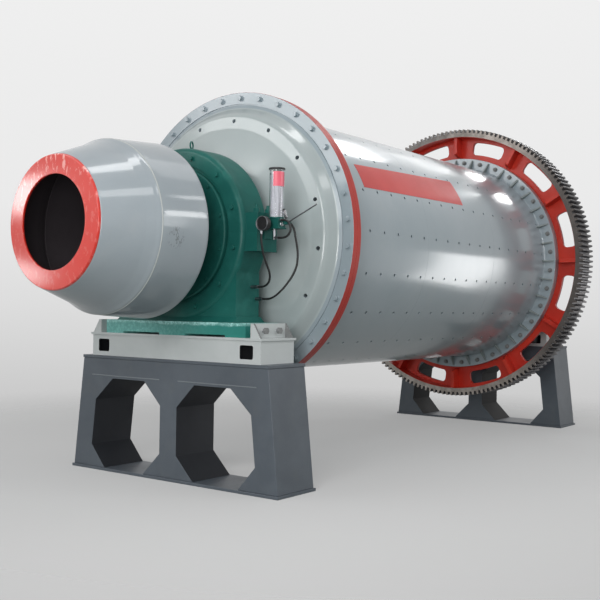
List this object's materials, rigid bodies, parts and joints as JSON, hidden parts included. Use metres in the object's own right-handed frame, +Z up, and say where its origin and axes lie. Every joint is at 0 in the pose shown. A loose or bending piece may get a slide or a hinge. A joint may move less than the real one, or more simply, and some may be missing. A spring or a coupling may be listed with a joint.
{
  "type": "ball mill",
  "caption": "Horizontal ball mill: a geared drum turning in two trunnion bearings on welded stands, with a drum feeder.",
  "frame": {"origin": "on the ground, under the middle of the mill's overall length, below the mill axis", "axes": "+X along the mill axis from feed to discharge, +Z up, +Y to the left of the feed direction"},
  "size_m": [7.994, 3.48, 3.87],
  "materials": {
    "drum_paint": "gloss light grey paint",
    "feeder_paint": "gloss blue-grey paint",
    "journal_steel": "machined steel",
    "red_paint": "satin red paint",
    "gear_steel": "oiled dark steel",
    "stand_paint": "satin dark grey paint",
    "bed_paint": "satin light grey paint",
    "bearing_paint": "gloss green paint",
    "reservoir_plastic": "clear plastic",
    "black_plastic": "black plastic",
    "bright_steel": "plated steel",
    "hose_rubber": "black rubber"
  },
  "bodies": {
    "frame": {"feed_stand_base": "stand_paint", "feed_stand_frame": "stand_paint", "feed_stand_top": "stand_paint", "feed_bed": "bed_paint", "feed_bed_stops": "bed_paint", "feed_bearing_housing": "bearing_paint", "feed_bearing_cap": "bearing_paint", "feed_bearing_seals": "bearing_paint", "feed_lifting_eye": "bearing_paint", "discharge_stand_base": "stand_paint", "discharge_stand_frame": "stand_paint", "discharge_stand_top": "stand_paint", "discharge_bed": "bed_paint", "discharge_bed_stops": "bed_paint", "discharge_bearing_housing": "bearing_paint", "discharge_bearing_cap": "bearing_paint", "discharge_bearing_seals": "bearing_paint", "discharge_lifting_eye": "bearing_paint", "pump_bracket": "bearing_paint", "pump_body": "bearing_paint", "pump_reservoir": "reservoir_plastic", "pump_reservoir_cap": "black_plastic", "pump_gauge": "black_plastic", "hose_ports": "bright_steel", "grease_hose_front": "hose_rubber", "grease_hose_back": "hose_rubber", "grease_hose_return": "hose_rubber"},
    "drum": {"shell_barrel": "drum_paint", "feed_shell_flange": "drum_paint", "discharge_shell_flange": "drum_paint", "feed_cover": "drum_paint", "discharge_cover": "drum_paint", "feed_trunnion": "journal_steel", "discharge_trunnion": "journal_steel", "feeder_mouth_ring": "red_paint", "feeder_cone": "feeder_paint", "feeder_barrel": "feeder_paint", "feeder_back": "feeder_paint", "gear_rim": "gear_steel", "gear_web": "red_paint", "gear_ribs": "red_paint", "discharge_spout": "feeder_paint"},
    "lever": {"pump_lever": "bright_steel"}
  },
  "joints": [
    {"name": "drum_spin", "type": "hinge", "parent": "frame", "child": "drum", "pos_m": [0, 0, 2.13], "axis": [1, 0, 0], "continuous": true},
    {"name": "pump_lever_swing", "type": "hinge", "parent": "frame", "child": "lever", "pos_m": [-2.464, -1.063, 2.207], "axis": [1, 0, 0], "range_deg": [-25, 35]}
  ]
}
